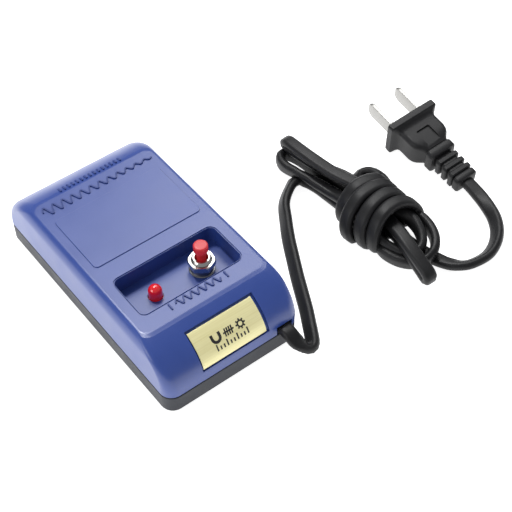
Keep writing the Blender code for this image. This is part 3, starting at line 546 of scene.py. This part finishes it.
def make_raised_marks():
    """A wave that dies away behind the pad, a steady wave in front of the pocket, a row of pips."""
    fading, steady = [], []
    for k in range(WAVE_PEAKS * 10 + 1):
        t = k / (WAVE_PEAKS * 10)
        height = WAVE_HEIGHT * (1 - 0.78 * t)
        fading.append((WAVE_X0 + WAVE_LENGTH * t,
                       WAVE_Y + height * math.sin(2 * math.pi * WAVE_PEAKS * t)))
    for k in range(SMALL_WAVE_PEAKS * 10 + 1):
        t = k / (SMALL_WAVE_PEAKS * 10)
        steady.append((SMALL_WAVE_X0 + SMALL_WAVE_LENGTH * t,
                       SMALL_WAVE_Y + 1.25 * math.sin(2 * math.pi * SMALL_WAVE_PEAKS * t)))
    marks = [stroke(fading, 0.55, MARK_RISE, on_top), stroke(steady, 0.5, MARK_RISE, on_top)]
    for x in (-10.6, 10.9):
        marks.append(stroke([(x, SMALL_WAVE_Y - 1.3), (x, SMALL_WAVE_Y + 1.3)], 0.5, MARK_RISE, on_top))
    for k in range(PIP_COUNT):
        x = PIP_X0 + PIP_PITCH * k
        marks.append(stroke([(x, 0.4), (x, 2.6)], 0.6, 0.3, on_back))
    # the raised marks take the darker copy of the shell blue: painted shade, not a colour of their own
    dress(piece("raised_marks", merge(marks), LOOKS["mark_blue_painted_shade"]), "housing", "shell_blue")


def make_nameplate():
    """Gold foil in the recess of the curved front, and the print on it."""
    x0, x1, z0, z1 = PLATE
    plate = front_strip(x0, x1, z0, z1, -PLATE_RECESS + 0.25, -0.1, 24)
    bmesh.ops.recalc_face_normals(plate, faces=plate.faces)
    bmesh.ops.bevel(plate, geom=plate.edges, offset=0.12, segments=2, profile=0.5, affect="EDGES",
                    clamp_overlap=True)
    dress(piece("nameplate_foil", plate, LOOKS["plate_gold"], 25), "housing", "plate_gold", "nameplate")
    heights, walked = [(0.0, z0)], 0.0
    step = (z1 - z0) / 80
    for k in range(80):
        z = z0 + step * (k + 1)
        (ya, za), (yb, zb) = front_point(z - step, 0), front_point(z, 0)
        walked += math.hypot(yb - ya, zb - za)
        heights.append((walked, z))

    def on_plate(u, v, out):
        """u across, v up the curved face from the plate's lower edge."""
        v = min(max(v, 0.0), walked)
        for (va, za), (vb, zb) in zip(heights, heights[1:]):
            if v <= vb:
                z = za + (zb - za) * (v - va) / (vb - va)
                break
        y, z = front_point(z, out - 0.1)
        return u, y, z

    marks = merge(printed_marks(walked * PRINT_CENTRE, on_plate))
    dress(piece("nameplate_print", marks, LOOKS["print_black"]), "housing", "plate_gold")


def printed_marks(v, place):
    """Three pictograms in a row, a horseshoe magnet, a coil and a gear, over a short scale."""
    pen = 0.5
    lines = []
    magnet = [(-5.6, v + 1.5), (-5.6, v)]
    for k in range(1, 8):
        a = math.pi * k / 8
        magnet.append((-4.2 - 1.4 * math.cos(a), v - 1.4 * math.sin(a)))
    magnet += [(-2.8, v), (-2.8, v + 1.5)]
    lines.append((magnet, 0.95))
    for k in range(4):
        x = -0.9 + 0.8 * k
        lines.append(([(x, v - 1.3), (x + 0.35, v + 1.3)], pen))
    lines.append(([(-1.5, v), (2.5, v)], pen))
    gear_x = 5.1
    rim = [math.pi * k / 8 for k in range(17)]
    lines.append(([(gear_x + math.cos(a), v + math.sin(a)) for a in rim], pen))
    for k in range(8):
        a = math.pi * k / 4
        lines.append(([(gear_x + 1.1 * math.cos(a), v + 1.1 * math.sin(a)),
                       (gear_x + 1.75 * math.cos(a), v + 1.75 * math.sin(a))], pen))
    for k, tall in enumerate((1, 0, 0, 1, 0, 0, 1, 0, 0, 1)):
        x = -5.2 + 1.3 * k
        lines.append(([(x, v - 4.2), (x, v - 2.9 + 0.9 * tall)], pen))
    return [stroke(points, width, 0.05, place) for points, width in lines]


# ---------------------------------------------------------------- controls

def make_lamp():
    """Domed lamp with a flange under the pocket floor."""
    angles = [math.pi / 2 * k / 12 for k in range(12)]
    dome = [(LED_R * math.cos(a), LED_SHOULDER + LED_R * math.sin(a)) for a in angles]
    profile = [(LED_FLANGE_R, 15.3), (LED_FLANGE_R, 16.3), (LED_R, 16.3), (LED_R, 18.4)] + dome
    profile += [(0.12, LED_SHOULDER + LED_R)]
    dress(piece("lamp_dome", turned(LED_X, CONTROL_Y, profile, 48), LOOKS["lamp_red"], 40),
          "housing", "lamp_red", "led_lens")


def make_bush():
    """Threaded bush with a counterbored mouth."""
    profile = [(BUSH_BORE_R, 16.6), (BUSH_R - 0.2, 16.6)]
    z = 17.0
    while z < BUSH_TOP - 0.3:
        profile += [(BUSH_R - 0.28, z), (BUSH_R, z + 0.22)]
        z += THREAD_PITCH
    profile += [(BUSH_R - 0.3, BUSH_TOP), (BUSH_BORE_R + 0.45, BUSH_TOP),
                (BUSH_BORE_R + 0.2, BUSH_TOP - 0.3), (BUSH_BORE_R, BUSH_TOP - 0.7)]
    dress(piece("threaded_bush", turned(SWITCH_X, CONTROL_Y, profile, 40, True), LOOKS["nickel"], 50),
          "housing", "nickel", "switch_bush")


def make_nut():
    """Hexagon with turned-down corners on both faces."""
    across, turn = NUT_FLATS / 2, math.radians(NUT_TURN)
    full = across / math.cos(math.pi / 6)

    def hexagon(limit):
        points = []
        for k in range(NUT_SEGMENTS):
            a = 2 * math.pi * k / NUT_SEGMENTS
            off_flat = (a + turn) % (math.pi / 3) - math.pi / 6
            radius = min(across / math.cos(off_flat), limit)
            points.append((SWITCH_X + radius * math.cos(a), CONTROL_Y + radius * math.sin(a)))
        return points

    def bore(radius):
        return circle(SWITCH_X, CONTROL_Y, radius, NUT_SEGMENTS)

    levels = [(hexagon(across + 0.1), NUT_Z0), (hexagon(full - 0.1), NUT_Z0 + 0.2),
              (hexagon(full), NUT_Z0 + 0.35), (hexagon(full), NUT_Z1 - 0.35),
              (hexagon(full - 0.15), NUT_Z1 - 0.2), (hexagon(across + 0.15), NUT_Z1),
              (bore(BUSH_R + 0.4), NUT_Z1), (bore(BUSH_R + 0.05), NUT_Z1 - 0.3),
              (bore(BUSH_R + 0.05), NUT_Z0)]
    bm = loft([[(px, py, z) for px, py in outline] for outline, z in levels], True)
    dress(piece("hex_nut", bm, LOOKS["nickel"], 22), "housing", "nickel", "bush_nut")


def make_washer():
    """Spacer under the nut with a thin rim at its foot."""
    profile = [(BUSH_R + 0.1, 18.3), (4.3, 18.3), (4.35, 18.35), (4.35, 18.55), (4.2, 18.65), (3.9, 18.7),
               (3.9, 20.3), (3.8, 20.45), (BUSH_R + 0.1, 20.45)]
    dress(piece("nut_spacer", turned(SWITCH_X, CONTROL_Y, profile, 56, True), LOOKS["steel"], 30),
          "housing", "steel", "bush_washer")


def make_button():
    """Push cap on a narrower stem, with a coned underside and a rounded rim."""
    top = BUTTON_TOP
    profile = [(1.5, 17.9), (1.5, top - 4.1), (1.62, top - 3.85), (2.25, top - 3.0),
               (2.4, top - 2.75), (2.42, top - 2.5), (2.42, top - 0.5), (2.36, top - 0.28),
               (2.22, top - 0.12), (2.0, top - 0.03), (1.7, top), (0.3, top)]
    dress(piece("push_cap", turned(SWITCH_X, CONTROL_Y, profile, 48), LOOKS["button_red"], 50),
          "button", "button_red", "button_cap")


# ---------------------------------------------------------------- plug

def plug_matrix():
    """From the plug's own frame to the part's."""
    return (Matrix.Translation(PLUG_FACE) @ Matrix.Rotation(math.radians(PLUG_TURN), 4, "Z")
            @ Matrix.Rotation(math.radians(PLUG_TILT), 4, "X")
            @ Matrix.Rotation(math.radians(PLUG_ROLL), 4, "Y"))


def section(y, half_x, half_z, radius, steps=5):
    """Rounded rectangle across the plug at y."""
    return [(x, y, z) for x, z in rounded_outline(-half_x, half_x, -half_z, half_z, radius, steps)]


def make_plug():
    """Body with a wide flange round the blades, two blades and a ribbed strain relief."""
    place = plug_matrix()
    # each section: y, half width, half height, corner radius
    body = [section(*row) for row in (
        (0.0, 10.1, 6.8, 0.9), (-0.25, 10.35, 7.1, 1.0), (-0.5, 10.5, 7.2, 1.0), (-2.6, 10.5, 7.2, 1.0),
        (-2.9, 10.3, 7.0, 1.0), (-3.2, 9.8, 6.6, 1.1), (-3.6, 9.1, 6.1, 1.3), (-4.3, 8.4, 5.65, 1.6),
        (-5.4, 8.1, 5.5, 1.9), (-8.0, 8.1, 5.5, 1.9), (-10.5, 8.1, 5.5, 1.9), (-12.2, 7.7, 5.4, 1.9),
        (-13.4, 7.0, 5.2, 1.9), (-14.4, 6.1, 4.9, 1.9), (-15.2, 5.4, 4.6, 1.9), (-16.0, 5.1, 4.4, 1.9))]
    plug = piece("plug_shell", loft(body), LOOKS["cord_black"], 40, place)
    for side in (-1, 1):
        x = side * BLADE_SPACING / 2
        half_t, half_w = BLADE_T / 2 + BLADE_PLAY, BLADE_W / 2 + BLADE_PLAY
        slot = rounded_box(x - half_t, x + half_t, -4.0, 2.0, 0.05, [(-half_w, 0), (half_w, 0)], 1)
        slot.transform(place)
        cut(plug, cutter(slot))
    label = rounded_box(*LABEL_RECESS, 0.4, [(4.85, 0.0), (5.3, 0.05), (7.5, 0.2)])
    label.transform(place)
    cut(plug, cutter(label))
    even_normals(plug)
    dress(plug, "housing", "cord_black", "plug_body")
    blades = []
    for side, hand in ((-1, "left"), (1, "right")):
        x = side * BLADE_SPACING / 2
        rings = []
        for y, grow in ((-BLADE_ROOT, 1.0), (BLADE_LEN - 2.2, 1.0),
                        (BLADE_LEN - 0.9, 0.86), (BLADE_LEN, 0.62)):
            t, w = BLADE_T / 2 * (0.4 + 0.6 * grow), BLADE_W / 2 * grow
            rings.append([(px, y, pz) for px, pz in rounded_outline(x - t, x + t, -w, w, 0.22, 3)])
        blade = piece("blade_" + hand, loft(rings), LOOKS["blade_metal"], 35, place)
        blades.append(dress(blade, "housing", "nickel", "plug_blade_" + hand))
    relief = [section(*row) for row in (
        (-16.0, 5.0, 4.1, 1.4), (-16.4, 5.5, 4.5, 1.5), (-16.8, 5.7, 4.65, 1.6), (-19.3, 5.7, 4.65, 1.6),
        (-19.7, 5.4, 4.4, 1.6))]
    for k in range(RIB_COUNT):
        y = RIB_START - RIB_PITCH * k
        for dy, half, height in ((0.0, 3.7, 2.7), (-0.8, 3.7, 2.7), (-1.0, 4.4, 3.2), (-1.35, 4.8, 3.5),
                                 (-2.7, 4.8, 3.5), (-3.0, 4.5, 3.2)):
            relief.append(section(y + dy, half, height, 1.3))
    relief += [section(*row) for row in (
        (-29.9, 3.7, 2.7, 1.3), (-30.2, 4.3, 3.0, 1.3), (-30.5, 4.7, 3.2, 1.4), (-32.3, 4.7, 3.2, 1.4),
        (-32.7, 4.5, 3.0, 1.3), (-32.9, 4.2, 2.7, 1.2))]
    collar = piece("strain_relief", loft(relief), LOOKS["cord_black"], 40, place)
    dress(collar, "housing", "cord_black", "plug_strain_relief")
    return [plug, collar, *blades]


# ---------------------------------------------------------------- cord

def broad_side(point, heading):
    """Unit vector along the cord's broad side at a route point."""
    lie = point[3]
    if lie == "X":
        side = Vector((1, 0, 0))
    elif lie == "Y":
        side = Vector((0, 1, 0))
    else:
        flat = heading.cross(Vector((0, 0, 1))).normalized()
        edge = flat.cross(heading)
        side = flat * math.cos(math.radians(lie)) + edge * math.sin(math.radians(lie))
    return (side - heading * side.dot(heading)).normalized()


def sweep_route(route, spacing):
    """Even centreline points and broad-side vectors along a curve through the route."""
    path = [Vector(p[:3]) for p in route]
    padded = [2 * path[0] - path[1]] + path + [2 * path[-1] - path[-2]]
    sides = []
    for i, point in enumerate(route):
        side = broad_side(point, (padded[i + 2] - padded[i]).normalized())
        if sides and side.dot(sides[-1]) < 0:
            side = -side
        sides.append(side)
    fine = []
    for i in range(len(path) - 1):
        a, b, c, d = padded[i:i + 4]
        for k in range(16):
            t = k / 16
            p = 0.5 * (2 * b + (c - a) * t + (2 * a - 5 * b + 4 * c - d) * t * t
                       + (3 * b - a - 3 * c + d) * t ** 3)
            ease = t * t * (3 - 2 * t)
            fine.append((p, sides[i].lerp(sides[i + 1], ease)))
    fine.append((path[-1], sides[-1]))
    total = sum((q[0] - p[0]).length for p, q in zip(fine, fine[1:]))
    count = round(total / spacing)
    out, walked = [fine[0]], 0.0
    for p, q in zip(fine, fine[1:]):
        step = (q[0] - p[0]).length
        while walked + step >= total * len(out) / count and len(out) < count:
            t = (total * len(out) / count - walked) / step
            out.append((p[0].lerp(q[0], t), p[1].lerp(q[1], t)))
        walked += step
    out.append(fine[-1])
    return out, total


def make_cord(plug_pieces):
    """Flat cord from the notch in the shell, through the tied hank, to the plug."""
    route = LEAD + OUTER_LOOP + LOW_END + INNER_LOOP + TOP_FOLD + LONG_FOLD + TURN_BACK + WRAPS + TAIL
    line, length = sweep_route(route, CORD_STEP)
    profile = rounded_outline(-CORD_W / 2, CORD_W / 2, -CORD_T / 2, CORD_T / 2, CORD_EDGE_R, 4)
    rings = []
    for i, (centre, side) in enumerate(line):
        before, after = line[max(0, i - 1)][0], line[min(len(line) - 1, i + 1)][0]
        heading = (after - before).normalized()
        side = (side - heading * side.dot(heading)).normalized()
        up = side.cross(heading)
        rings.append([centre + side * u + up * v for u, v in profile])
    cord = piece("flat_cord", loft(rings), LOOKS["cord_black"], 60)
    dress(cord, "housing", "cord_black", "cord_lead", "cord_hank", "cord_tail")


# ---------------------------------------------------------------- stage

def make_camera():
    """Camera placed to match the photo."""
    data = bpy.data.cameras.new("camera")
    data.lens = CAMERA_LENS
    data.clip_start = 0.01
    camera = bpy.data.objects.new("camera", data)
    bpy.context.scene.collection.objects.link(camera)
    azimuth, elevation = math.radians(CAMERA_AZIMUTH), math.radians(CAMERA_ELEVATION)
    back = Vector((math.sin(azimuth) * math.cos(elevation), -math.cos(azimuth) * math.cos(elevation),
                   math.sin(elevation)))
    level = Vector((math.cos(azimuth), math.sin(azimuth), 0))
    turn = Matrix((level, back.cross(level), back)).transposed().to_4x4()
    camera.matrix_world = (Matrix.Translation(Vector(CAMERA_AT) * MM) @ turn
                           @ Matrix.Rotation(math.radians(CAMERA_ROLL), 4, "Z"))
    bpy.context.scene.camera = camera


def area_light(name, at, size, power):
    """A rectangular light pointed at LIGHTS_AIM."""
    data = bpy.data.lights.new(name, "AREA")
    data.shape = "RECTANGLE"
    data.size, data.size_y = size
    data.energy = power
    lamp = bpy.data.objects.new(name, data)
    bpy.context.scene.collection.objects.link(lamp)
    lamp.location = at
    lamp.rotation_euler = (Vector(LIGHTS_AIM) - Vector(at)).to_track_quat("-Z", "Y").to_euler()


def make_stage():
    """White paper floor, three area lights and an even sky."""
    bm = bmesh.new()
    bmesh.ops.create_grid(bm, x_segments=1, y_segments=1, size=FLOOR_HALF)
    paper = Finish("paper")
    weave = paper.noise(200)
    paper.colour(weave, (0.86, 0.86, 0.86), (0.90, 0.90, 0.90))
    paper.shader.inputs["Roughness"].default_value = 0.9
    paper.shader.inputs["Emission Color"].default_value = (1, 1, 1, 1)
    paper.shader.inputs["Emission Strength"].default_value = FLOOR_GLOW
    floor = piece("floor", bm, paper.mat, smooth=0)
    for name, at, size, power in LIGHTS:
        area_light(name, at, size, power)
    world = bpy.data.worlds.new("studio")
    world.use_nodes = True
    world.node_tree.nodes["Background"].inputs["Color"].default_value = (0.95, 0.97, 1.0, 1)
    world.node_tree.nodes["Background"].inputs["Strength"].default_value = SKY_STRENGTH
    bpy.context.scene.world = world
    bpy.context.scene.view_settings.view_transform = "Standard"


def dress_cad_nodes():
    """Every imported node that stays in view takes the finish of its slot."""
    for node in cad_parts.values():
        for place in node.material_slots:
            slot = place.material.name.split(".")[0]
            if slot in LOOKS:
                place.material = LOOKS[slot]


make_camera()
make_cord(make_plug())
make_shell()
make_tray()
make_raised_marks()
make_nameplate()
make_lamp()
make_bush()
make_nut()
make_washer()
make_button()
dress_cad_nodes()
make_stage()
